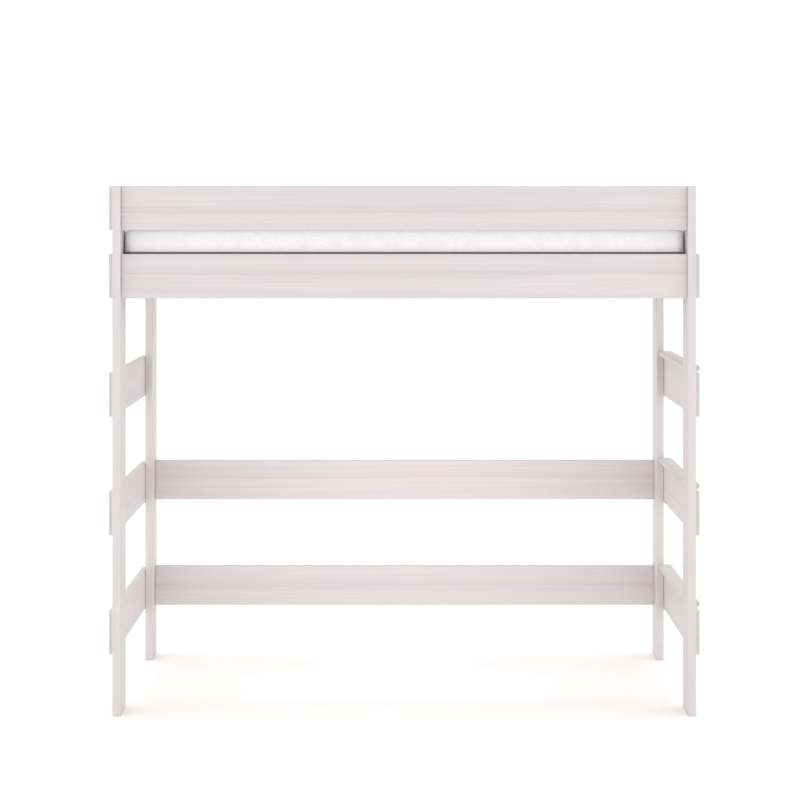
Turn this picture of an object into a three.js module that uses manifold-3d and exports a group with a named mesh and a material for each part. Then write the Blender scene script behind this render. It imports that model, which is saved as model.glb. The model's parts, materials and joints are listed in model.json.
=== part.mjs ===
// A high loft bed in whitewashed pine: four flat posts carry two long bed rails and two guard rails,
// boards close the two ends, three treads make one end the ladder, and two long rails brace the back.
// Millimetres. X runs along the bed, Y from the front to the wall side, Z up from the floor.
import * as THREE from "three";
import { mergeVertices } from "three/addons/utils/BufferGeometryUtils.js";
import Module from "manifold-3d";

const wasm = await Module();
wasm.setup();

// Mattress and the room left round it
const MATTRESS_LENGTH = 2010;
const MATTRESS_WIDTH = 900;
const MATTRESS_THICKNESS = 175;
const MATTRESS_CORNER = 40;
const LENGTH_CLEARANCE = 5;
const WIDTH_CLEARANCE = 10;
const MATTRESS_END_GAP = 2.5;
const REST_GAP = 0.3;

// Boards and posts
const POST_THICKNESS = 29;
const POST_WIDTH = 134;
const BOARD_HEIGHT = 158;
const RAIL_THICKNESS = 28;
const RAIL_INSET = 22;
const END_BOARD_THICKNESS = 22;
const EASED_EDGE = 3;
const EASED_STEPS = 2;

// Levels: the underside of each board above the floor
const LOWEST_BOARD = 204;
const BOARD_PITCH = 426;
const GUARD_GAP = 85;

// Treads of the ladder end
const TREAD_WIDTH = 54;
const TREAD_THICKNESS = 22;
const TREAD_NOSE = 9;
const TREAD_NOSE_STEPS = 4;
const TREAD_OVERHANG = 11;
const TREAD_CLEARANCE = 1;

// Slatted base
const CLEAT_WIDTH = 28;
const CLEAT_HEIGHT = 40;
const CLEAT_RISE = 13;
const CLEAT_END_GAP = 5;
const SLAT_WIDTH = 70;
const SLAT_THICKNESS = 18;
const SLAT_WIDEST_GAP = 73;
const SLAT_END_GAP = 50;
const SLAT_CLEARANCE = 2;
const SLAT_EASED_EDGE = 4;

// Bed bolts
const BOLT_SPACING = 68;
const BOLT_RADIUS = 3.5;
const BOLT_CLEARANCE = 0.7;
const BOLT_REACH = 62;
const BOLT_HOLE_SPARE = 6;
const BOLT_HEAD_RADIUS = 8;
const BOLT_HEAD_HEIGHT = 3.2;
const BOLT_HEAD_CROWN = 1.6;
const BOLT_SIDES = 12;
const HOLE_SIDES = 16;
const CUT_SPARE = 1;

// Worked out from the sizes above
const BOLT_HOLE_RADIUS = BOLT_RADIUS + BOLT_CLEARANCE;
const INNER_LENGTH = MATTRESS_LENGTH + LENGTH_CLEARANCE;
const INNER_WIDTH = MATTRESS_WIDTH + WIDTH_CLEARANCE;
const DEPTH = INNER_WIDTH + 2 * (RAIL_THICKNESS + RAIL_INSET);
const POST_INNER_X = INNER_LENGTH / 2;
const POST_OUTER_X = POST_INNER_X + POST_THICKNESS;
const POST_CENTRE_Y = (DEPTH - POST_WIDTH) / 2;
const RAIL_CENTRE_Y = DEPTH / 2 - RAIL_INSET - RAIL_THICKNESS / 2;
const LEVELS = [0, 1, 2, 3].map((step) => LOWEST_BOARD + step * BOARD_PITCH);
const BED_LEVEL = LEVELS[3];
const GUARD_LEVEL = BED_LEVEL + BOARD_HEIGHT + GUARD_GAP;
const POST_HEIGHT = GUARD_LEVEL + BOARD_HEIGHT;
const RAIL_LEVELS = [LEVELS[0], LEVELS[1], BED_LEVEL, GUARD_LEVEL];
const CLEAT_TOP = BED_LEVEL + CLEAT_RISE + CLEAT_HEIGHT;
const SLAT_TOP = CLEAT_TOP + SLAT_THICKNESS;
const SLATTED_LENGTH = INNER_LENGTH - 2 * SLAT_END_GAP;
const SLAT_COUNT = Math.ceil((SLATTED_LENGTH + SLAT_WIDEST_GAP) / (SLAT_WIDTH + SLAT_WIDEST_GAP));
const SLAT_PITCH = (SLATTED_LENGTH - SLAT_WIDTH) / (SLAT_COUNT - 1);
const LEFT_EDGE = -POST_OUTER_X - END_BOARD_THICKNESS;
const RIGHT_EDGE = POST_OUTER_X + END_BOARD_THICKNESS + TREAD_OVERHANG;

const colours = { pine: 0xe9e2e4, cleat: 0xe4dadb, cover: 0xf3f3f3, steel: 0xb9bbbd };

function finish(colour, roughness, metalness = 0) {
  return new THREE.MeshStandardMaterial({ color: colour, roughness, metalness });
}

// A rectangle with its four corners rounded, as the section of an eased board.
function easedSection(width, height, radius) {
  const x = width / 2;
  const y = height / 2;
  const shape = new THREE.Shape();
  shape.moveTo(x, y - radius);
  shape.absarc(x - radius, y - radius, radius, 0, Math.PI / 2);
  shape.absarc(-x + radius, y - radius, radius, Math.PI / 2, Math.PI);
  shape.absarc(-x + radius, -y + radius, radius, Math.PI, 1.5 * Math.PI);
  shape.absarc(x - radius, -y + radius, radius, 1.5 * Math.PI, 2 * Math.PI);
  return shape;
}

// A board centred on the origin: the section lies in the XY plane and the length runs along Z.
function boardAlongZ(width, height, length, radius = EASED_EDGE, steps = EASED_STEPS) {
  const section = easedSection(width, height, radius);
  const options = { depth: length, bevelEnabled: false, curveSegments: steps };
  return new THREE.ExtrudeGeometry(section, options).translate(0, 0, -length / 2);
}

// The same board with its length along X, its thickness along Y and its height along Z.
function boardAlongX(length, thickness, height, radius, steps) {
  return boardAlongZ(height, thickness, length, radius, steps).rotateY(Math.PI / 2);
}

// The same board with its length along Y, its thickness along X and its height along Z.
function boardAlongY(length, thickness, height, radius, steps) {
  return boardAlongZ(thickness, height, length, radius, steps).rotateX(-Math.PI / 2);
}

function solidFrom(geometry) {
  const bare = geometry.clone();
  bare.deleteAttribute("normal");
  bare.deleteAttribute("uv");
  const merged = mergeVertices(bare, 1e-4);
  return new wasm.Manifold(
    new wasm.Mesh({
      numProp: 3,
      vertProperties: merged.attributes.position.array,
      triVerts: new Uint32Array(merged.index.array),
    })
  );
}

function geometryFrom(solid) {
  const mesh = solid.getMesh();
  const geometry = new THREE.BufferGeometry();
  geometry.setAttribute("position", new THREE.BufferAttribute(mesh.vertProperties, 3));
  geometry.setIndex(new THREE.BufferAttribute(mesh.triVerts, 1));
  geometry.computeVertexNormals();
  return geometry;
}

// Takes each drill out of a board's geometry.
function drilled(geometry, drills) {
  let solid = solidFrom(geometry);
  for (const drill of drills) {
    solid = solid.subtract(solidFrom(drill));
  }
  return geometryFrom(solid);
}

// A drill along X, centred on the given point.
function drillAlongX(radius, length, x, y, z) {
  const drill = new THREE.CylinderGeometry(radius, radius, length, HOLE_SIDES);
  return drill.rotateZ(Math.PI / 2).translate(x, y, z);
}

const bed = new THREE.Group();
bed.position.x = -(LEFT_EDGE + RIGHT_EDGE) / 2;

function place(name, geometry, material, x, y, z) {
  const mesh = new THREE.Mesh(geometry, material);
  mesh.name = name;
  mesh.position.set(x, y, z);
  bed.add(mesh);
}

const pine = finish(colours.pine, 0.55);
const steel = finish(colours.steel, 0.35, 0.9);

// Heights of the two bolts in the end of a board whose underside is at the given level.
function boltHeights(level) {
  const middle = level + BOARD_HEIGHT / 2;
  return [middle - BOLT_SPACING / 2, middle + BOLT_SPACING / 2];
}

// A post is drilled at every rail level, on the line of the rails' middles. All four are drilled
// alike, so the low pair of rails can go to either long side.
function post(side) {
  const blank = boardAlongZ(POST_THICKNESS, POST_WIDTH, POST_HEIGHT);
  const holeY = side * (RAIL_CENTRE_Y - POST_CENTRE_Y);
  const through = POST_THICKNESS + 2 * CUT_SPARE;
  const drills = RAIL_LEVELS.flatMap(boltHeights).map((height) =>
    drillAlongX(BOLT_HOLE_RADIUS, through, 0, holeY, height - POST_HEIGHT / 2)
  );
  return drilled(blank, drills);
}

for (const [sideName, side] of [["front", -1], ["back", 1]]) {
  for (const [endName, end] of [["left", -1], ["right", 1]]) {
    const x = end * (POST_INNER_X + POST_THICKNESS / 2);
    place(`post_${sideName}_${endName}`, post(side), pine, x, side * POST_CENTRE_Y, POST_HEIGHT / 2);
  }
}

// A long rail has two blind bolt holes in each end grain.
function longRail() {
  const blank = boardAlongX(INNER_LENGTH, RAIL_THICKNESS, BOARD_HEIGHT);
  const depth = BOLT_REACH - POST_THICKNESS + BOLT_HOLE_SPARE;
  const drills = [];
  for (const end of [-1, 1]) {
    for (const height of boltHeights(-BOARD_HEIGHT / 2)) {
      const x = end * (INNER_LENGTH - depth + CUT_SPARE) / 2;
      drills.push(drillAlongX(BOLT_HOLE_RADIUS, depth + CUT_SPARE, x, 0, height));
    }
  }
  return drilled(blank, drills);
}

const longRails = [
  ["guard_rail_front", -1, GUARD_LEVEL],
  ["guard_rail_back", 1, GUARD_LEVEL],
  ["side_rail_front", -1, BED_LEVEL],
  ["side_rail_back", 1, BED_LEVEL],
  ["back_rail_upper", 1, LEVELS[1]],
  ["back_rail_lower", 1, LEVELS[0]],
];
for (const [name, side, level] of longRails) {
  place(name, longRail(), pine, 0, side * RAIL_CENTRE_Y, level + BOARD_HEIGHT / 2);
}

// End boards lie on the posts' outer faces and stop at the posts' mid-width.
function endBoard() {
  return boardAlongY(DEPTH - POST_WIDTH, END_BOARD_THICKNESS, BOARD_HEIGHT);
}

const endBoardX = POST_OUTER_X + END_BOARD_THICKNESS / 2;
for (const [index, level] of [...LEVELS, GUARD_LEVEL].entries()) {
  place(`end_board_left_${index + 1}`, endBoard(), pine, -endBoardX, 0, level + BOARD_HEIGHT / 2);
}
for (const [index, level] of LEVELS.entries()) {
  place(`end_board_right_${index + 1}`, endBoard(), pine, endBoardX, 0, level + BOARD_HEIGHT / 2);
}

// Treads lie on the top edges of the three lower boards of the ladder end, between the posts.
const treadLength = DEPTH - 2 * POST_WIDTH - 2 * TREAD_CLEARANCE;
for (const [index, level] of LEVELS.slice(0, 3).entries()) {
  const tread = boardAlongY(
    treadLength, TREAD_WIDTH, TREAD_THICKNESS, TREAD_NOSE, TREAD_NOSE_STEPS
  );
  const height = level + BOARD_HEIGHT + TREAD_THICKNESS / 2;
  place(`tread_${index + 1}`, tread, pine, RIGHT_EDGE - TREAD_WIDTH / 2, 0, height);
}

// Cleats are screwed to the side rails' inner faces and carry the slats.
const cleatLength = INNER_LENGTH - 2 * CLEAT_END_GAP;
for (const [sideName, side] of [["front", -1], ["back", 1]]) {
  const cleat = boardAlongX(cleatLength, CLEAT_WIDTH, CLEAT_HEIGHT, EASED_EDGE, EASED_STEPS);
  const y = side * (INNER_WIDTH - CLEAT_WIDTH) / 2;
  place(`slat_cleat_${sideName}`, cleat, finish(colours.cleat, 0.7), 0, y, CLEAT_TOP - CLEAT_HEIGHT / 2);
}

const slatLength = INNER_WIDTH - 2 * SLAT_CLEARANCE;
for (let index = 0; index < SLAT_COUNT; index += 1) {
  const slat = boardAlongY(slatLength, SLAT_WIDTH, SLAT_THICKNESS, SLAT_EASED_EDGE, EASED_STEPS);
  const x = (index - (SLAT_COUNT - 1) / 2) * SLAT_PITCH;
  const number = String(index + 1).padStart(2, "0");
  place(`slat_${number}`, slat, finish(colours.cleat, 0.7), x, 0, SLAT_TOP - SLAT_THICKNESS / 2);
}

// The mattress lies on the slats, pushed towards the left end.
const mattressX = -POST_INNER_X + MATTRESS_END_GAP + MATTRESS_LENGTH / 2;
const mattressSection = easedSection(MATTRESS_LENGTH, MATTRESS_WIDTH, MATTRESS_CORNER);
const mattress = new THREE.ExtrudeGeometry(mattressSection, {
  depth: MATTRESS_THICKNESS - REST_GAP,
  bevelEnabled: false,
  curveSegments: 6,
});
place("mattress", mattress, finish(colours.cover, 0.95), mattressX, 0, SLAT_TOP + REST_GAP);

// A bed bolt: a low crowned head on the post's outer face and a plain shank into the rail's end.
function bolt() {
  const profile = [
    new THREE.Vector2(0, -BOLT_REACH),
    new THREE.Vector2(BOLT_RADIUS, -BOLT_REACH),
    new THREE.Vector2(BOLT_RADIUS, 0),
    new THREE.Vector2(BOLT_HEAD_RADIUS, 0),
    new THREE.Vector2(BOLT_HEAD_RADIUS, BOLT_HEAD_HEIGHT - BOLT_HEAD_CROWN),
    new THREE.Vector2(BOLT_HEAD_RADIUS * 0.6, BOLT_HEAD_HEIGHT),
    new THREE.Vector2(0, BOLT_HEAD_HEIGHT),
  ];
  return new THREE.LatheGeometry(profile, BOLT_SIDES).rotateZ(-Math.PI / 2);
}

const boltedRails = [["guard", GUARD_LEVEL], ["side", BED_LEVEL]];
for (const [railName, level] of boltedRails) {
  for (const [sideName, side] of [["front", -1], ["back", 1]]) {
    for (const [endName, end] of [["left", -1], ["right", 1]]) {
      for (const [index, height] of boltHeights(level).entries()) {
        const shape = end > 0 ? bolt() : bolt().rotateZ(Math.PI);
        const name = `bolt_${railName}_${sideName}_${endName}_${index + 1}`;
        place(name, shape, steel, end * POST_OUTER_X, side * RAIL_CENTRE_Y, height);
      }
    }
  }
}

const part = new THREE.Group();
part.add(bed);

export default part;
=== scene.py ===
# %% [markdown]
# # A high loft bed in whitewashed pine
# Four flat posts carry two long bed rails with two guard rails above them. Boards close the ends,
# three treads turn the right end into a ladder, and two long rails brace the wall side.
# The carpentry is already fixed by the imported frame: this script gives every piece its finished
# shape and surface, exactly where the frame says it is.

# %% Load the frame
import json
import math

import bmesh
import bpy
import numpy as np
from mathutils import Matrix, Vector


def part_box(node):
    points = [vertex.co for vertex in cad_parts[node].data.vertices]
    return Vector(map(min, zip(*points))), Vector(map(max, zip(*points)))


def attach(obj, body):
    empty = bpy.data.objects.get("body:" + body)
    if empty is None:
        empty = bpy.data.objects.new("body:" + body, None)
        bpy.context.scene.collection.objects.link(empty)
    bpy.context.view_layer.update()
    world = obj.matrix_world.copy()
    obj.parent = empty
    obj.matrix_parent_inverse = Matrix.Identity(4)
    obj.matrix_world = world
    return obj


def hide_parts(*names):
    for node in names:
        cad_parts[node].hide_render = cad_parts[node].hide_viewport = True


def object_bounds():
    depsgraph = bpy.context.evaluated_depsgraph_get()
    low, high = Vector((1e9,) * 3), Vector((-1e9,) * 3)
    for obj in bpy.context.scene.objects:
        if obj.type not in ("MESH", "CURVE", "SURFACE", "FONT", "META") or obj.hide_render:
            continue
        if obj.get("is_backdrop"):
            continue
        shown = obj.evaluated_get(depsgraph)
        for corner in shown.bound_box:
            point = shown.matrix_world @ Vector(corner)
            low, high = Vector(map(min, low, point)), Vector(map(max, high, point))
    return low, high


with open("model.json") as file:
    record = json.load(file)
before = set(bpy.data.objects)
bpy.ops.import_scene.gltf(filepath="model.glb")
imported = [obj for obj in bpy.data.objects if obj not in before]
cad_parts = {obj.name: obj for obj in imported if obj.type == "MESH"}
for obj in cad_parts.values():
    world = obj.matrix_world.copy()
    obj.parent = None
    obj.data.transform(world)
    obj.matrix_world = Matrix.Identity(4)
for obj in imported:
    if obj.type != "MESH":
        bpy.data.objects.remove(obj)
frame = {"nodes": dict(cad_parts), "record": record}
cad_low, cad_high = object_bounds()
body_of_node = {
    node: body
    for body, nodes in frame["record"]["behaviour"]["bodies"].items()
    for node in nodes
}
print("frame:", len(frame["nodes"]), "nodes, size", [round(x, 3) for x in cad_high - cad_low])

# %% [markdown]
# ## Camera
# The bed is looked at square on from the front, from far away with a long lens, so that the posts
# stay upright and parallel. The eye is as high as the guard rail, and the lens is shifted down
# instead of tilted, as an architect's camera would be.

# %% Camera
EYE_DISTANCE = 6.94
EYE_HEIGHT = 1.779
EYE_OFFSET = 0.0045
LENS = 88.0
SENSOR = 36.0
SHIFT_X = -0.0088
SHIFT_Y = -0.2312

front_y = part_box("post_front_left")[0].y
camera_data = bpy.data.cameras.new("studio_camera")
camera_data.lens = LENS
camera_data.sensor_width = SENSOR
camera_data.shift_x = SHIFT_X
camera_data.shift_y = SHIFT_Y
camera_data.clip_end = 200.0
camera = bpy.data.objects.new("studio_camera", camera_data)
bpy.context.scene.collection.objects.link(camera)
camera.location = (EYE_OFFSET, front_y - EYE_DISTANCE, EYE_HEIGHT)
camera.rotation_euler = (math.radians(90), 0, 0)
bpy.context.scene.camera = camera
print("camera at", [round(x, 3) for x in camera.location])

# %% [markdown]
# ## Floor and light
# A wide white floor and an even white sky give the soft, nearly shadowless light of a catalogue
# studio.
# A weak large lamp in front and a stronger one at each side keep the faces that look inwards nearly
# as bright as the front ones, and a small lamp under the bed brightens the two rails at the back.

# %% Floor and light
FLOOR_SIZE = 80.0
FLOOR_DROP = 0.0005
FLOOR_WHITE = 0.98
SKY_STRENGTH = 1.14
KEY_POWER = 12.0
SIDE_POWER = 60.0
FILL_POWER = 1.9
LAMP_DISTANCE = 6.0

bpy.context.scene.view_settings.view_transform = "Standard"
bpy.ops.object.select_all(action="DESELECT")
bpy.ops.mesh.primitive_plane_add(size=FLOOR_SIZE, location=(0, 0, cad_low.z - FLOOR_DROP))
floor = bpy.context.object
floor.name = "studio_floor"
floor_paint = bpy.data.materials.new("floor paint")
floor_paint.use_nodes = True
floor_surface = floor_paint.node_tree.nodes["Principled BSDF"]
floor_surface.inputs["Base Color"].default_value = (*[FLOOR_WHITE] * 3, 1)
floor_surface.inputs["Roughness"].default_value = 1.0
floor_surface.inputs["Specular IOR Level"].default_value = 0.0
floor.data.materials.append(floor_paint)
floor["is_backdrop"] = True

sky = bpy.data.worlds.new("white sky")
sky.use_nodes = True
sky.node_tree.nodes["Background"].inputs["Color"].default_value = (1, 1, 1, 1)
sky.node_tree.nodes["Background"].inputs["Strength"].default_value = SKY_STRENGTH
bpy.context.scene.world = sky


def soft_lamp(name, place, target, width, height, power):
    lamp = bpy.data.lights.new(name, "AREA")
    lamp.shape = "RECTANGLE"
    lamp.size = width
    lamp.size_y = height
    lamp.energy = power
    holder = bpy.data.objects.new(name, lamp)
    bpy.context.scene.collection.objects.link(holder)
    holder.location = place
    holder.rotation_euler = (Vector(target) - Vector(place)).to_track_quat("-Z", "Y").to_euler()
    holder.visible_camera = False
    return holder


soft_lamp("key", (0, front_y - LAMP_DISTANCE, 1.7), (0, 0, 1.0), 5.0, 5.0, KEY_POWER)
for name, side in (("left_lamp", -1), ("right_lamp", 1)):
    soft_lamp(name, (side * LAMP_DISTANCE, -1.2, 1.4), (0, 0, 1.0), 4.0, 4.0, SIDE_POWER)
soft_lamp("fill", (0, front_y + 0.25, 0.65), (0, 1.0, 0.55), 1.3, 0.8, FILL_POWER)
print("stage: floor", FLOOR_SIZE, "m wide, four lamps")

# %% [markdown]
# ## Helpers for materials
# Every finish is a small tree of nodes. One helper adds a node, fills its sockets with numbers or
# links, and gives it back, so that a recipe reads from top to bottom.

# %% Material helpers
def new_finish(name):
    material = bpy.data.materials.new(name)
    material.use_nodes = True
    return material.node_tree, material.node_tree.nodes["Principled BSDF"], material


def add(tree, kind, inputs, **settings):
    made = tree.nodes.new("ShaderNode" + kind)
    for setting, value in settings.items():
        setattr(made, setting, value)
    for socket, value in inputs.items():
        fill(tree, made.inputs[socket], value)
    return made


def fill(tree, socket, value):
    if isinstance(value, bpy.types.NodeSocket):
        tree.links.new(value, socket)
    else:
        socket.default_value = value


def stretched(tree, vector, scale):
    return add(tree, "Mapping", {"Vector": vector, "Scale": scale}).outputs["Vector"]


def ramp(tree, factor, stops):
    made = add(tree, "ValToRGB", {"Fac": factor})
    band = made.color_ramp
    for place, colour in stops[1:-1]:
        band.elements.new(place).color = (*colour, 1)
    band.elements[0].position, band.elements[0].color = stops[0][0], (*stops[0][1], 1)
    band.elements[-1].position, band.elements[-1].color = stops[-1][0], (*stops[-1][1], 1)
    return made.outputs["Color"]


def mixed(tree, factor, first, second, blend="MIX"):
    made = add(tree, "Mix", {0: factor, 6: first, 7: second}, data_type="RGBA", blend_type=blend)
    return made.outputs[2]


def maths(tree, operation, first, second=0.0, clamp=False):
    made = add(tree, "Math", {0: first, 1: second}, operation=operation, use_clamp=clamp)
    return made.outputs["Value"]


print("material helpers ready")

# %% [markdown]
# ## Whitewashed pine
# The boards are pine under a thin white wash. The wash hides most of the wood, and what is left
# are long soft streaks, pinkish, lavender and beige, with fine lines from the growth rings.
# A flat picture of wood would look the same on every board, so the grain is solid: it is worked
# out in three dimensions from where a point lies in its own board. Each board carries that place
# as an attribute called grain, so one recipe serves boards that lie along X, Y or Z. Where a board
# was cut through the heart of the tree, a warmer band with a fine line runs along it: the band
# fades slowly on one side of the line and ends sharply on the other.

# %% Whitewashed pine recipe
RING_SCALE = 46.0
PITH_DEPTH = 0.085
HEART_FADE_UP = 30.0
HEART_FADE_DOWN = 600.0
HEART_LINE_FADE = 260.0
BAND_SHARE = 0.55
LINE_SHARE = 0.38


def pine_finish(name, tones, ring_colour, heart_colour, ring_share, gloss):
    tree, surface, material = new_finish(name)
    grain = add(tree, "Attribute", {}, attribute_name="grain").outputs["Vector"]
    drift = add(tree, "TexNoise", {"Vector": stretched(tree, grain, (0.7, 3.0, 3.0)),
                                   "Scale": 1.0, "Detail": 2.0}).outputs["Color"]
    centred = add(tree, "VectorMath", {0: drift, 1: (0.5, 0.5, 0.5)}, operation="SUBTRACT")
    sway = add(tree, "VectorMath", {0: centred.outputs[0], 1: (0.0, 0.028, 0.028)},
               operation="MULTIPLY")
    swayed = add(tree, "VectorMath", {0: grain, 1: sway.outputs[0]}, operation="ADD").outputs[0]

    broad = add(tree, "TexNoise", {"Vector": stretched(tree, swayed, (0.5, 30.0, 14.0)),
                                   "Scale": 1.0, "Detail": 4.0, "Roughness": 0.7}).outputs["Fac"]
    colour = ramp(tree, broad, tones)

    fine = add(tree, "TexNoise", {"Vector": stretched(tree, swayed, (1.3, 210.0, 150.0)),
                                  "Scale": 1.0, "Detail": 2.0, "Roughness": 0.5}).outputs["Fac"]
    off_pith = add(tree, "VectorMath", {0: swayed, 1: (0.0, 0.0, PITH_DEPTH)}, operation="ADD")
    rings = add(tree, "TexWave", {"Vector": off_pith.outputs[0], "Scale": RING_SCALE,
                                  "Distortion": 0.8, "Detail": 2.0, "Detail Scale": 0.6},
                wave_type="RINGS", rings_direction="X", wave_profile="SAW").outputs["Fac"]
    late_wood = maths(tree, "POWER", rings, 3.0)
    ring_factor = maths(tree, "MULTIPLY", late_wood, maths(tree, "MULTIPLY", fine, ring_share))
    colour = mixed(tree, ring_factor, colour, (*ring_colour, 1))

    across = add(tree, "SeparateXYZ", {"Vector": swayed}).outputs["Y"]
    above = maths(tree, "MULTIPLY", maths(tree, "MAXIMUM", across, 0.0), HEART_FADE_UP)
    below = maths(tree, "MULTIPLY", maths(tree, "MINIMUM", across, 0.0), -HEART_FADE_DOWN)
    band = maths(tree, "SUBTRACT", maths(tree, "SUBTRACT", 1.0, above), below, clamp=True)
    off_line = maths(tree, "MULTIPLY", maths(tree, "ABSOLUTE", across), HEART_LINE_FADE)
    line = maths(tree, "SUBTRACT", 1.0, off_line, clamp=True)
    streak = maths(tree, "ADD", maths(tree, "MULTIPLY", band, BAND_SHARE),
                   maths(tree, "MULTIPLY", line, LINE_SHARE))
    flecks = maths(tree, "MULTIPLY", maths(tree, "SUBTRACT", broad, 0.22, clamp=True), 2.6)
    streak = maths(tree, "MULTIPLY", streak, flecks, clamp=True)
    colour = mixed(tree, streak, colour, (*heart_colour, 1))

    brushed = add(tree, "TexNoise", {"Vector": stretched(tree, grain, (9.0, 620.0, 420.0)),
                                     "Scale": 1.0, "Detail": 1.0}).outputs["Fac"]
    tint = ramp(tree, brushed, [(0.25, (0.965, 0.965, 0.965)), (0.75, (1.0, 1.0, 1.0))])
    colour = mixed(tree, 1.0, colour, tint, "MULTIPLY")
    fill(tree, surface.inputs["Base Color"], colour)
    rough = maths(tree, "ADD", maths(tree, "MULTIPLY", brushed, 0.14), gloss)
    fill(tree, surface.inputs["Roughness"], rough)
    relief = maths(tree, "ADD", maths(tree, "MULTIPLY", rings, 0.45), brushed)
    bump = add(tree, "Bump", {"Height": relief, "Strength": 0.35, "Distance": 0.0004})
    fill(tree, surface.inputs["Normal"], bump.outputs["Normal"])
    surface.inputs["Specular IOR Level"].default_value = 0.35
    return material


WASH_TONES = [
    (0.30, (0.578, 0.560, 0.604)),
    (0.40, (0.647, 0.590, 0.623)),
    (0.46, (0.637, 0.600, 0.608)),
    (0.52, (0.675, 0.614, 0.628)),
    (0.57, (0.670, 0.620, 0.600)),
    (0.63, (0.661, 0.614, 0.658)),
    (0.72, (0.710, 0.664, 0.673)),
]
washed_pine = pine_finish("whitewashed pine", WASH_TONES, ring_colour=(0.578, 0.492, 0.512),
                          heart_colour=(0.600, 0.488, 0.486), ring_share=0.5, gloss=0.42)
BARE_TONES = [
    (0.30, (0.610, 0.510, 0.395)),
    (0.50, (0.660, 0.565, 0.450)),
    (0.70, (0.700, 0.620, 0.510)),
]
bare_pine = pine_finish("bare pine", BARE_TONES, ring_colour=(0.50, 0.35, 0.22),
                        heart_colour=(0.50, 0.33, 0.20), ring_share=0.9, gloss=0.55)
print("pine finishes:", washed_pine.name, "and", bare_pine.name)

# %% [markdown]
# ## Steel, knitted cover and zip
# Bolts, nuts and screws are zinc-plated steel: pale, a little rough, with faint cloudy variation.
# The mattress cover is a white knit. From a few metres its loops melt into a soft mottle, so the
# recipe has a mottle of a few millimetres, and below it a fine bump for the loops.

# %% Steel, knit and zip recipes
def steel_finish():
    tree, surface, material = new_finish("zinc-plated steel")
    place = add(tree, "TexCoord", {}).outputs["Object"]
    cloud = add(tree, "TexNoise", {"Vector": place, "Scale": 180.0, "Detail": 3.0}).outputs["Fac"]
    fill(tree, surface.inputs["Base Color"],
         ramp(tree, cloud, [(0.3, (0.46, 0.46, 0.47)), (0.7, (0.62, 0.62, 0.61))]))
    fill(tree, surface.inputs["Roughness"],
         maths(tree, "ADD", maths(tree, "MULTIPLY", cloud, 0.2), 0.26))
    surface.inputs["Metallic"].default_value = 1.0
    return material


def knit_finish():
    tree, surface, material = new_finish("knitted cover")
    place = add(tree, "TexCoord", {}).outputs["Object"]
    mottle = add(tree, "TexNoise", {"Vector": place, "Scale": 170.0, "Detail": 4.0,
                                    "Roughness": 0.65}).outputs["Fac"]
    patches = add(tree, "TexNoise", {"Vector": place, "Scale": 22.0, "Detail": 2.0}).outputs["Fac"]
    shade = maths(tree, "ADD", maths(tree, "MULTIPLY", mottle, 0.75),
                  maths(tree, "MULTIPLY", patches, 0.25))
    fill(tree, surface.inputs["Base Color"],
         ramp(tree, shade, [(0.36, (0.835, 0.83, 0.84)), (0.64, (0.92, 0.915, 0.92))]))
    loops = add(tree, "TexVoronoi", {"Vector": place, "Scale": 520.0, "Randomness": 0.6})
    height = maths(tree, "ADD", mottle, maths(tree, "MULTIPLY", loops.outputs["Distance"], 0.6))
    bump = add(tree, "Bump", {"Height": height, "Strength": 0.5, "Distance": 0.0008})
    fill(tree, surface.inputs["Normal"], bump.outputs["Normal"])
    surface.inputs["Roughness"].default_value = 0.95
    surface.inputs["Specular IOR Level"].default_value = 0.2
    surface.inputs["Sheen Weight"].default_value = 0.15
    return material


# The zip has dark grey teeth: partly the colour of a real grey zip, partly painted shade for the
# groove above the side rail.
def zip_and_shade_finish():
    tree, surface, material = new_finish("zip with painted groove shade")
    place = add(tree, "TexCoord", {}).outputs["Object"]
    teeth = add(tree, "TexVoronoi", {"Vector": place, "Scale": 380.0, "Randomness": 0.2})
    # painted shade: the teeth are darker than grey zip tape, so the zip also stands in for the
    # shadow in the groove
    fill(tree, surface.inputs["Base Color"],
         ramp(tree, teeth.outputs["Distance"],
              [(0.1, (0.2, 0.2, 0.205)), (0.6, (0.13, 0.13, 0.135))]))
    surface.inputs["Roughness"].default_value = 0.6
    return material


steel = steel_finish()
knit = knit_finish()
zip_and_groove_shade = zip_and_shade_finish()
print("finishes:", steel.name + ",", knit.name, "and", zip_and_groove_shade.name)

# %% [markdown]
# ## Helpers for modelling
# The pieces are made the way one would by hand: add a primitive, go into edit mode, pick edges by
# where they are, and run an operator on them. Operators act on everything that is selected, so
# each step starts by clearing the selection.

# %% Modelling helpers
X, Y, Z = 0, 1, 2
TINY = 1e-5


def clear_selection():
    bpy.ops.object.select_all(action="DESELECT")


def activate(piece):
    clear_selection()
    piece.select_set(True)
    bpy.context.view_layer.objects.active = piece


def pick_edges(piece, wanted):
    bpy.ops.mesh.select_mode(type="EDGE")
    bpy.ops.mesh.select_all(action="DESELECT")
    shape = bmesh.from_edit_mesh(piece.data)
    for edge in shape.edges:
        if wanted(edge.verts[0].co, edge.verts[1].co):
            edge.select_set(True)
    bmesh.update_edit_mesh(piece.data)


def apply_modifier(piece, kind, **settings):
    activate(piece)
    modifier = piece.modifiers.new(kind.lower(), kind)
    for setting, value in settings.items():
        setattr(modifier, setting, value)
    bpy.ops.object.modifier_apply(modifier=modifier.name)


def smooth_faces(piece, degrees=40):
    activate(piece)
    bpy.ops.object.shade_smooth_by_angle(angle=math.radians(degrees))
    apply_modifier(piece, "WEIGHTED_NORMAL", keep_sharp=True, weight=100)


def finish_piece(piece, material, body, nodes=()):
    piece.data.materials.clear()
    piece.data.materials.append(material)
    if nodes:
        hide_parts(*nodes)
    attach(piece, body)


print("modelling helpers ready")

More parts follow.
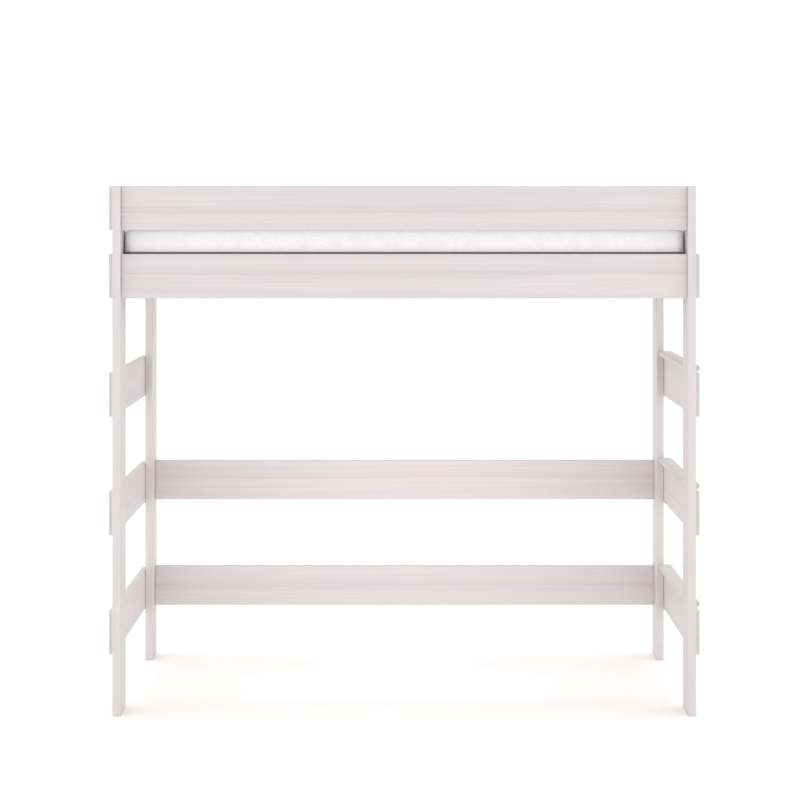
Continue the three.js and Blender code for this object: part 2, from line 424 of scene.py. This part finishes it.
# %% [markdown]
# ## An eased board
# A planed board has its four long edges rounded over by a cutter and its sawn ends just touched
# with sandpaper. A cube is stretched to the board's box, its long edges are bevelled with a round
# profile, and then the rim of each end is bevelled a little, which is more on a rail's ends, where
# the shadow line beside the post comes from. Without a heart, the grain's centre lies outside the
# board, and each board starts at another place along the grain, so that no two look alike.

# %% Board helper
LONG_EASE = 0.003
END_EASE = 0.0011
RAIL_END_EASE = 0.0032
BOARD_SHIFT = 7.31
NO_HEART = 0.6
board_count = 0


def board_blank(name, low, high, along, ease=LONG_EASE, steps=4, end_ease=END_EASE):
    clear_selection()
    bpy.ops.mesh.primitive_cube_add(size=1, location=(low + high) / 2, scale=high - low)
    piece = bpy.context.object
    piece.name = name
    bpy.ops.object.transform_apply(location=True, rotation=True, scale=True)
    bpy.ops.object.mode_set(mode="EDIT")
    pick_edges(piece, lambda a, b: abs(a[along] - b[along]) > TINY)
    bpy.ops.mesh.bevel(offset=ease, segments=steps, affect="EDGES")
    for end in (low[along], high[along]):
        pick_edges(piece, lambda a, b: abs(a[along] - end) < TINY and abs(b[along] - end) < TINY)
        bpy.ops.mesh.bevel(offset=end_ease, segments=2, affect="EDGES")
    bpy.ops.object.mode_set(mode="OBJECT")
    return piece


def mark_grain(piece, along, across, heart=NO_HEART):
    global board_count
    board_count += 1
    places = np.array([vertex.co for vertex in piece.data.vertices])
    centre = (places.min(0) + places.max(0)) / 2
    through = 3 - along - across
    local = (places - centre)[:, [along, across, through]]
    local[:, 0] += BOARD_SHIFT * board_count
    local[:, 1] -= heart
    attribute = piece.data.attributes.new("grain", "FLOAT_VECTOR", "POINT")
    attribute.data.foreach_set("vector", local.astype(np.float32).ravel())


print("board helper ready")

# %% [markdown]
# ## Round cutters and drilled holes
# Holes are drilled, not drawn: a round cutter with flared ends is taken out of the board, which
# leaves a real hole with a small countersink. The cutter, like every turned piece here, starts as
# a filled circle that is extruded and scaled step by step, as on a lathe.

# %% Turning and drilling helpers
def turned(name, steps, sides):
    clear_selection()
    bpy.ops.mesh.primitive_circle_add(vertices=sides, radius=steps[0][0], fill_type="NGON",
                                      location=(0, 0, steps[0][1]))
    piece = bpy.context.object
    piece.name = name
    bpy.ops.object.transform_apply(location=True, rotation=True, scale=True)
    bpy.ops.object.mode_set(mode="EDIT")
    bpy.ops.mesh.select_all(action="SELECT")
    for (radius, height), (wider, higher) in zip(steps, steps[1:]):
        bpy.ops.mesh.extrude_region_move(
            TRANSFORM_OT_translate={"value": (0, 0, higher - height)})
        share = wider / radius
        bpy.ops.transform.resize(value=(share, share, 1), center_override=(0, 0, higher))
    bpy.ops.mesh.select_all(action="SELECT")
    bpy.ops.mesh.normals_make_consistent(inside=False)
    bpy.ops.object.mode_set(mode="OBJECT")
    return piece


def placed_copy(template, place, turn):
    copy = template.copy()
    copy.data = template.data.copy()
    bpy.context.scene.collection.objects.link(copy)
    copy.rotation_euler = turn
    copy.location = place
    activate(copy)
    bpy.ops.object.transform_apply(location=True, rotation=True, scale=True)
    return copy


def joined(name, parts):
    clear_selection()
    for part in parts:
        part.select_set(True)
    bpy.context.view_layer.objects.active = parts[0]
    if len(parts) > 1:
        bpy.ops.object.join()
    parts[0].name = name
    return parts[0]


def drill(piece, cutter, places, turn):
    drills = joined("drills", [placed_copy(cutter, place, turn) for place in places])
    apply_modifier(piece, "BOOLEAN", object=drills, operation="DIFFERENCE", solver="EXACT")
    bpy.data.objects.remove(drills)


TO_RIGHT = (0, math.radians(90), 0)
TO_LEFT = (0, math.radians(-90), 0)
TO_FRONT = (math.radians(90), 0, 0)
TO_BACK = (math.radians(-90), 0, 0)
UPWARDS = (0, 0, 0)
print("turning and drilling helpers ready")

# %% [markdown]
# ## Where the bolts go
# Two bolts hold each end of each long rail. Their places follow from the frame: they lie on the
# rail's middle plane, a fixed distance above and below its centre line.

# %% Bolt places
low_bolt, high_bolt = (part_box(f"bolt_guard_front_left_{number}") for number in (1, 2))
BOLT_RISE = (high_bolt[0].z - low_bolt[0].z) / 2
LONG_RAILS = ["guard_rail_front", "guard_rail_back", "side_rail_front", "side_rail_back",
              "back_rail_upper", "back_rail_lower"]


def bolt_heights(rail):
    low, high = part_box(rail)
    middle = (low.z + high.z) / 2
    return [middle - BOLT_RISE, middle + BOLT_RISE]


def middle_of(node):
    low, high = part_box(node)
    return (low + high) / 2


BACK_RAILS = [rail for rail in LONG_RAILS if "back" in rail]
all_heights = [height for rail in BACK_RAILS for height in bolt_heights(rail)]
print("bolt heights:", sorted(round(height, 3) for height in all_heights))

# %% [markdown]
# ## Posts
# Each post is drilled through at all four rail heights, front and back posts alike, so that the
# low pair of rails can go on either long side. The holes not in use stay open and show as small
# dark dots on the inner faces of the front posts.

# %% Posts
HOLE_RADIUS = 0.0042
FLARE = 0.0006
OVERSHOOT = 0.001

post_low, post_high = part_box("post_front_left")
half_post = (post_high.x - post_low.x) / 2
hole_cutter = turned("hole_cutter", [
    (HOLE_RADIUS + FLARE + OVERSHOOT, -half_post - OVERSHOOT),
    (HOLE_RADIUS, -half_post + FLARE),
    (HOLE_RADIUS, half_post - FLARE),
    (HOLE_RADIUS + FLARE + OVERSHOOT, half_post + OVERSHOOT),
], sides=24)
for side in ("front", "back"):
    for end in ("left", "right"):
        node = f"post_{side}_{end}"
        low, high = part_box(node)
        post = board_blank(node + "_pine", low, high, Z)
        line = middle_of(f"guard_rail_{side}").y
        places = [(middle_of(node).x, line, height) for height in all_heights]
        drill(post, hole_cutter, places, TO_RIGHT)
        mark_grain(post, Z, Y)
        smooth_faces(post)
        finish_piece(post, washed_pine, body_of_node[node], [node])
        print(post.name, len(post.data.polygons), "faces")

# %% [markdown]
# ## Long rails
# A rail is an eased board with two bores in each end grain for the bolts, and a blind hole for each
# barrel nut, the small steel cylinder that the bolt screws into. All six rails are the same part
# and face the same way, with the nuts on the face turned to the wall, where nobody sees them.

# %% Long rails
NUT_INSET = 0.026
NUT_HOLE_RADIUS = 0.0052
NUT_HOLE_DEPTH = 0.021
BORE_DEPTH = 0.039
RAIL_HEARTS = {"guard_rail_front": -0.016, "side_rail_front": 0.008,
               "back_rail_upper": 0.010, "back_rail_lower": -0.002}

nut_cutter = turned("nut_cutter", [
    (NUT_HOLE_RADIUS + FLARE + OVERSHOOT, OVERSHOOT),
    (NUT_HOLE_RADIUS, -FLARE),
    (NUT_HOLE_RADIUS, -NUT_HOLE_DEPTH),
], sides=24)
bore_cutter = turned("bore_cutter", [
    (HOLE_RADIUS, OVERSHOOT),
    (HOLE_RADIUS, -BORE_DEPTH),
], sides=20)
for node in LONG_RAILS:
    low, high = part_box(node)
    rail = board_blank(node + "_pine", low, high, X, end_ease=RAIL_END_EASE)
    centre = middle_of(node)
    heights = bolt_heights(node)
    nut_places = [(x, high.y, height) for x in (low.x + NUT_INSET, high.x - NUT_INSET)
                  for height in heights]
    drill(rail, nut_cutter, nut_places, TO_BACK)
    drill(rail, bore_cutter, [(low.x, centre.y, height) for height in heights], TO_LEFT)
    drill(rail, bore_cutter, [(high.x, centre.y, height) for height in heights], TO_RIGHT)
    mark_grain(rail, X, Z, RAIL_HEARTS.get(node, NO_HEART))
    smooth_faces(rail)
    finish_piece(rail, washed_pine, body_of_node[node], [node])
    print(rail.name, len(rail.data.polygons), "faces")

# %% [markdown]
# ## End boards
# Nine shorter boards are screwed to the outer faces of the posts, five on the left end and four on
# the right. Each has four countersunk holes, two where it crosses each post.

# %% End boards
SCREW_INSET = 0.033
SCREW_RISE = 0.045
SINK_RADIUS = 0.0046
SINK_DEPTH = 0.0030
SHANK_RADIUS = 0.0021
BOARD_COUNTS = {"left": 5, "right": 4}

screw_cutter = turned("screw_cutter", [
    (SINK_RADIUS, OVERSHOOT),
    (SINK_RADIUS, -0.0004),
    (SHANK_RADIUS, -SINK_DEPTH),
    (SHANK_RADIUS, -0.012),
], sides=20)
end_screw_places = {"left": [], "right": []}
for end, count in BOARD_COUNTS.items():
    for number in range(1, count + 1):
        node = f"end_board_{end}_{number}"
        low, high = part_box(node)
        board = board_blank(node + "_pine", low, high, Y)
        outer_x, outwards = (low.x, TO_LEFT) if end == "left" else (high.x, TO_RIGHT)
        middle = middle_of(node)
        places = [(outer_x, y, middle.z + rise) for y in (low.y + SCREW_INSET, high.y - SCREW_INSET)
                  for rise in (-SCREW_RISE, SCREW_RISE)]
        drill(board, screw_cutter, places, outwards)
        end_screw_places[end] += places
        mark_grain(board, Y, Z)
        smooth_faces(board)
        finish_piece(board, washed_pine, body_of_node[node], [node])
print("end boards:", BOARD_COUNTS["left"], "left and", BOARD_COUNTS["right"], "right")

# %% [markdown]
# ## Treads
# A tread is a narrow board on top of the end board, wide enough for a foot and rounded over on
# both long edges so that it is kind to bare feet. Three screws go down into the end board.

# %% Treads
TREAD_EASE = 0.0095
TREAD_COUNT = 3
SCREW_REACH = 0.42

tread_screw_places = []
for number in range(1, TREAD_COUNT + 1):
    node = f"tread_{number}"
    low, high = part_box(node)
    tread = board_blank(node + "_pine", low, high, Y, ease=TREAD_EASE, steps=8)
    line_x = middle_of(f"end_board_right_{number}").x
    reach = (high.y - low.y) * SCREW_REACH
    places = [(line_x, middle_of(node).y + share * reach, high.z) for share in (-1, 0, 1)]
    drill(tread, screw_cutter, places, UPWARDS)
    tread_screw_places += places
    mark_grain(tread, Y, X)
    smooth_faces(tread)
    finish_piece(tread, washed_pine, body_of_node[node], [node])
print("treads:", TREAD_COUNT, "with", len(tread_screw_places), "screws")

# %% [markdown]
# ## Cleats and slats
# The mattress lies on slats, and the slats lie on two cleats screwed to the inner faces of the
# side rails. They are bare pine, because nobody sees them once the mattress is in.

# %% Cleats and slats
CLEAT_SCREWS = 8
CLEAT_END = 0.08

cleat_screw_places = {"front": [], "back": []}
for side in ("front", "back"):
    node = f"slat_cleat_{side}"
    low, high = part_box(node)
    cleat = board_blank(node + "_pine", low, high, X, ease=0.002, steps=3)
    face_y, outwards = (high.y, TO_BACK) if side == "front" else (low.y, TO_FRONT)
    spacing = (high.x - low.x - 2 * CLEAT_END) / (CLEAT_SCREWS - 1)
    places = [(low.x + CLEAT_END + spacing * number, face_y, middle_of(node).z)
              for number in range(CLEAT_SCREWS)]
    drill(cleat, screw_cutter, places, outwards)
    cleat_screw_places[side] = places
    mark_grain(cleat, X, Z)
    smooth_faces(cleat)
    finish_piece(cleat, bare_pine, body_of_node[node], [node])

slat_screw_places = []
slat_nodes = sorted(node for node in frame["nodes"]
                    if node.startswith("slat_") and "cleat" not in node)
for node in slat_nodes:
    low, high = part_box(node)
    slat = board_blank(node + "_pine", low, high, Y, ease=0.003, steps=3)
    places = [(middle_of(node).x, middle_of(f"slat_cleat_{side}").y, high.z)
              for side in ("front", "back")]
    drill(slat, screw_cutter, places, UPWARDS)
    slat_screw_places += places
    mark_grain(slat, Y, X)
    smooth_faces(slat)
    finish_piece(slat, bare_pine, body_of_node[node], [node])
print("cleats: 2, slats:", len(slat_nodes))

# %% [markdown]
# ## Bed bolts
# A furniture bolt has a low, wide, slightly domed head with a hexagon socket, so that it can be
# tightened with a key and does not catch on clothes. The head is turned, and the socket is taken
# out with a six-sided cutter.

# %% Bed bolts
HEAD_RADIUS = 0.008
HEAD_HEIGHT = 0.0032
SOCKET_RADIUS = 0.0029
SOCKET_DEPTH = 0.0026
BOLT_RADIUS = 0.0035
BOLT_REACH = 0.062

bolt = turned("bolt_template", [
    (0.0026, -BOLT_REACH),
    (BOLT_RADIUS, -BOLT_REACH + 0.001),
    (BOLT_RADIUS, 0.0),
    (HEAD_RADIUS - 0.0003, 0.0),
    (HEAD_RADIUS, 0.0004),
    (HEAD_RADIUS, 0.0012),
    (HEAD_RADIUS * 0.93, 0.0021),
    (HEAD_RADIUS * 0.78, 0.0028),
    (HEAD_RADIUS * 0.55, HEAD_HEIGHT),
], sides=32)
socket = turned("socket_cutter", [
    (SOCKET_RADIUS, HEAD_HEIGHT - SOCKET_DEPTH),
    (SOCKET_RADIUS, HEAD_HEIGHT + OVERSHOOT),
], sides=6)
drill(bolt, socket, [(0, 0, 0)], UPWARDS)
smooth_faces(bolt)
for side in ("front", "back"):
    for end, turn in (("left", TO_LEFT), ("right", TO_RIGHT)):
        low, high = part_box(f"post_{side}_{end}")
        outer_x = low.x if end == "left" else high.x
        rails = [rail for rail in LONG_RAILS if side in rail]
        line = middle_of(f"guard_rail_{side}").y
        places = [(outer_x, line, height) for rail in rails for height in bolt_heights(rail)]
        bolts = joined(f"bolts_{side}_{end}", [placed_copy(bolt, place, turn) for place in places])
        nodes = [f"bolt_{rail}_{side}_{end}_{number}" for rail in ("guard", "side")
                 for number in (1, 2)]
        finish_piece(bolts, steel, "frame", nodes)
        print(bolts.name, "has", len(places), "bolts")

# %% [markdown]
# ## Barrel nuts
# A barrel nut is a short steel cylinder with a slot across its end, so that a screwdriver can turn
# its thread towards the bolt. It sits a millimetre below the rail's face.

# %% Barrel nuts
NUT_RADIUS = 0.005
NUT_LENGTH = 0.0185
NUT_SINK = 0.0012
SLOT_HALF_WIDTH = 0.0006
SLOT_DEPTH = 0.0014

nut = turned("nut_template", [
    (NUT_RADIUS * 0.9, -NUT_LENGTH - NUT_SINK),
    (NUT_RADIUS, -NUT_LENGTH - NUT_SINK + 0.0005),
    (NUT_RADIUS, -NUT_SINK - 0.0005),
    (NUT_RADIUS * 0.9, -NUT_SINK),
], sides=24)
low = Vector((-SLOT_HALF_WIDTH, -NUT_RADIUS - OVERSHOOT, -NUT_SINK - SLOT_DEPTH))
high = Vector((SLOT_HALF_WIDTH, NUT_RADIUS + OVERSHOOT, OVERSHOOT))
clear_selection()
bpy.ops.mesh.primitive_cube_add(size=1, location=(low + high) / 2, scale=high - low)
slot_cutter = bpy.context.object
bpy.ops.object.transform_apply(location=True, rotation=True, scale=True)
drill(nut, slot_cutter, [(0, 0, 0)], UPWARDS)
smooth_faces(nut)
nuts = []
for node in LONG_RAILS:
    low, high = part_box(node)
    for x in (low.x + NUT_INSET, high.x - NUT_INSET):
        for height in bolt_heights(node):
            nuts.append(placed_copy(nut, (x, high.y, height), TO_BACK))
nut_count = len(nuts)
finish_piece(joined("barrel_nuts", nuts), steel, "frame")
print("barrel nuts:", nut_count)

# %% [markdown]
# ## Screws
# Countersunk wood screws hold the end boards, treads, cleats and slats. One head with a cross
# recess is modelled, and then copied to every place where a hole was drilled.

# %% Screws
RECESS_SIZE = (0.0010, 0.0050, 0.0026)

screw = turned("screw_template", [
    (SHANK_RADIUS * 0.9, -0.011),
    (SHANK_RADIUS * 0.9, -SINK_DEPTH - 0.0002),
    (SINK_RADIUS * 0.93, -0.0007),
    (SINK_RADIUS * 0.93, -0.0005),
    (SINK_RADIUS * 0.80, -0.0003),
], sides=20)
for quarter in (0, 90):
    clear_selection()
    bpy.ops.mesh.primitive_cube_add(size=1, location=(0, 0, -0.0003), scale=RECESS_SIZE)
    recess = bpy.context.object
    bpy.ops.object.transform_apply(location=True, rotation=True, scale=True)
    drill(screw, recess, [(0, 0, 0)], (0, 0, math.radians(quarter)))
    bpy.data.objects.remove(recess)
smooth_faces(screw)
screw_groups = {
    "end_board_screws_left": [(place, TO_LEFT) for place in end_screw_places["left"]],
    "end_board_screws_right": [(place, TO_RIGHT) for place in end_screw_places["right"]],
    "tread_screws": [(place, UPWARDS) for place in tread_screw_places],
    "cleat_screws": [(place, TO_BACK) for place in cleat_screw_places["front"]]
    + [(place, TO_FRONT) for place in cleat_screw_places["back"]],
    "slat_screws": [(place, UPWARDS) for place in slat_screw_places],
}
for name, group in screw_groups.items():
    screws = joined(name, [placed_copy(screw, place, turn) for place, turn in group])
    finish_piece(screws, steel, "frame")
    print(name, len(group), "screws")

# %% [markdown]
# ## Mattress
# The mattress is foam in a knitted cover. The cover is sewn from two shells that meet at half
# height in a narrow groove, so each half bulges a little by itself, and the foam pushes it out
# between the seam and the corners. Two rounded blocks are joined and wrapped in one skin of even
# squares. The skin is then blown up as cloth, held along the seam and flat underneath, where it
# lies on the slats. How far it may swell is limited, because the side rails are close.

# %% Mattress blocks
SWELL_END = 0.0012
SWELL_SIDE = 0.0030
SWELL_TOP = 0.007
CORNER_RADIUS = 0.034
BOTTOM_RADIUS = 0.020
TOP_RADIUS = 0.012
SEAM_RADIUS = 0.013
SEAM_RISE = 0.0030
OVERLAP = 0.001
CROWN = 0.012
SKIN_SIZE = 0.0125

pad_low, pad_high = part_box("mattress")
seam_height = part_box("side_rail_front")[1].z + SEAM_RISE


def mattress_half(bottom, top, bottom_radius, top_radius):
    low = Vector((pad_low.x, pad_low.y, bottom))
    high = Vector((pad_high.x, pad_high.y, top))
    clear_selection()
    bpy.ops.mesh.primitive_cube_add(size=1, location=(low + high) / 2, scale=high - low)
    half = bpy.context.object
    bpy.ops.object.transform_apply(location=True, rotation=True, scale=True)
    bpy.ops.object.mode_set(mode="EDIT")
    pick_edges(half, lambda a, b: abs(a.z - b.z) > TINY)
    bpy.ops.mesh.bevel(offset=CORNER_RADIUS, segments=8, affect="EDGES")
    for height, radius in ((bottom, bottom_radius), (top, top_radius)):
        pick_edges(half, lambda a, b: abs(a.z - height) < TINY and abs(b.z - height) < TINY)
        bpy.ops.mesh.bevel(offset=radius, segments=5, affect="EDGES")
    bpy.ops.object.mode_set(mode="OBJECT")
    return half


pad = joined("mattress_cover", [
    mattress_half(pad_low.z, seam_height + OVERLAP, BOTTOM_RADIUS, SEAM_RADIUS),
    mattress_half(seam_height - OVERLAP, pad_high.z + CROWN, SEAM_RADIUS, TOP_RADIUS),
])
pad.data.remesh_voxel_size = SKIN_SIZE
activate(pad)
bpy.ops.object.voxel_remesh()
print("mattress skin:", len(pad.data.vertices), "points")

# %% [markdown]
# Blowing up: the points near the seam and on the underside are held, and air pressure does the
# rest. Each point then moves by a softened share of what the simulation gave it.

# %% Mattress simulation
PRESSURE = 4.0
LAST_FRAME = 20
SEAM_HOLD = 0.010
SEAM_DEPTH = 0.006
BASE_HOLD = 0.004

start = np.array([vertex.co for vertex in pad.data.vertices])
from_side = np.minimum(np.minimum(start[:, 0] - pad_low.x, pad_high.x - start[:, 0]),
                       np.minimum(start[:, 1] - pad_low.y, pad_high.y - start[:, 1]))
held = (np.abs(start[:, 2] - seam_height) < SEAM_HOLD) & (from_side > SEAM_DEPTH)
held |= start[:, 2] < pad_low.z + BASE_HOLD
group = pad.vertex_groups.new(name="held")
group.add([int(point) for point in np.flatnonzero(held)], 1.0, "REPLACE")
cloth = pad.modifiers.new("cloth", "CLOTH")
cloth.settings.use_pressure = True
cloth.settings.uniform_pressure_force = PRESSURE
cloth.settings.effector_weights.gravity = 0
cloth.settings.vertex_group_mass = "held"
cloth.point_cache.frame_start = 1
cloth.point_cache.frame_end = LAST_FRAME
for moment in range(1, LAST_FRAME + 1):
    bpy.context.scene.frame_set(moment)
activate(pad)
bpy.ops.object.modifier_apply(modifier=cloth.name)
bpy.context.scene.frame_set(1)
pad.vertex_groups.clear()
blown = np.array([vertex.co for vertex in pad.data.vertices])
moved = blown - start
print("simulated swelling up to", round(float(np.abs(moved).max()) * 1000, 1), "mm")
limits = np.array([SWELL_END, SWELL_SIDE, SWELL_TOP])
softened = limits * np.tanh(moved / limits)
pad.data.vertices.foreach_set("co", (start + softened).ravel())
pad.data.update()

# %% [markdown]
# The knit is never perfectly even, so the skin gets a very shallow ripple before it is smoothed.
# It is then brought back to the room that the bed leaves it: as wide as the frame says, a hair
# longer, and with the top about a centimetre proud, as a well filled cover is.

# %% Mattress finish
RIPPLE = 0.0012
RIPPLE_SIZE = 0.07
END_FULLNESS = 0.0014

ripple = bpy.data.textures.new("ripple", "CLOUDS")
ripple.noise_scale = RIPPLE_SIZE
apply_modifier(pad, "DISPLACE", texture=ripple, texture_coords="LOCAL", strength=RIPPLE,
               mid_level=0.5)
apply_modifier(pad, "SUBSURF", levels=1, render_levels=1)
skin = np.array([vertex.co for vertex in pad.data.vertices])
skin_low, skin_high = skin.min(0), skin.max(0)
room_low = np.array(pad_low) - [END_FULLNESS, 0, 0]
room_high = np.array(pad_high) + [END_FULLNESS, 0, CROWN]
stretch = (room_high - room_low) / (skin_high - skin_low)
skin[:, :2] = (room_low + (skin - skin_low) * stretch)[:, :2]
upper = skin[:, 2] > seam_height
lift = (room_high[2] - seam_height) / (skin_high[2] - seam_height)
skin[upper, 2] = seam_height + (skin[upper, 2] - seam_height) * lift
drop = (seam_height - room_low[2]) / (seam_height - skin_low[2])
skin[~upper, 2] = seam_height - (seam_height - skin[~upper, 2]) * drop
pad.data.vertices.foreach_set("co", skin.ravel())
activate(pad)
bpy.ops.object.shade_smooth()
finish_piece(pad, knit, "mattress", ["mattress"])
print("mattress:", len(pad.data.polygons), "faces")

# %% [markdown]
# ## Zip
# A zip runs all the way round in the groove, so that the cover can be taken off and washed. Its
# teeth are painted much darker than grey zip tape, as painted shade for the groove just above the
# side rail.
# It is made as one round cord of teeth along a rounded outline that lies inside the groove.

# %% Zip
ZIP_RADIUS = 0.0045
ZIP_INSET = 0.0072

zip_low = pad_low + Vector((ZIP_INSET, ZIP_INSET, 0))
zip_high = pad_high - Vector((ZIP_INSET, ZIP_INSET, 0))
zip_middle = (*((zip_low + zip_high) / 2).xy, seam_height)
clear_selection()
bpy.ops.mesh.primitive_plane_add(size=1, location=zip_middle)
zipper = bpy.context.object
zipper.name = "mattress_zip_and_shade"
bpy.ops.object.transform_apply(location=True, rotation=True, scale=True)
bpy.ops.object.mode_set(mode="EDIT")
bpy.ops.mesh.select_all(action="SELECT")
bpy.ops.transform.resize(value=(*(zip_high - zip_low).xy, 1), center_override=zip_middle)
bpy.ops.mesh.bevel(offset=CORNER_RADIUS - ZIP_INSET, segments=8, affect="VERTICES")
bpy.ops.mesh.delete(type="ONLY_FACE")
bpy.ops.object.mode_set(mode="OBJECT")
bpy.ops.object.convert(target="CURVE")
zipper.data.bevel_depth = ZIP_RADIUS
zipper.data.bevel_resolution = 2
bpy.ops.object.convert(target="MESH")
bpy.ops.object.shade_smooth()
finish_piece(zipper, zip_and_groove_shade, "mattress")
print("zip:", len(zipper.data.polygons), "faces")

# %% [markdown]
# The templates and cutters have done their work, so they are thrown away.

# %% Clear the bench
for template in (hole_cutter, nut_cutter, bore_cutter, screw_cutter, bolt, socket, nut,
                 slot_cutter, screw):
    bpy.data.objects.remove(template)
print("bench cleared")

# %% Finish
low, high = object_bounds()
print("visual size", [round(x, 3) for x in high - low])
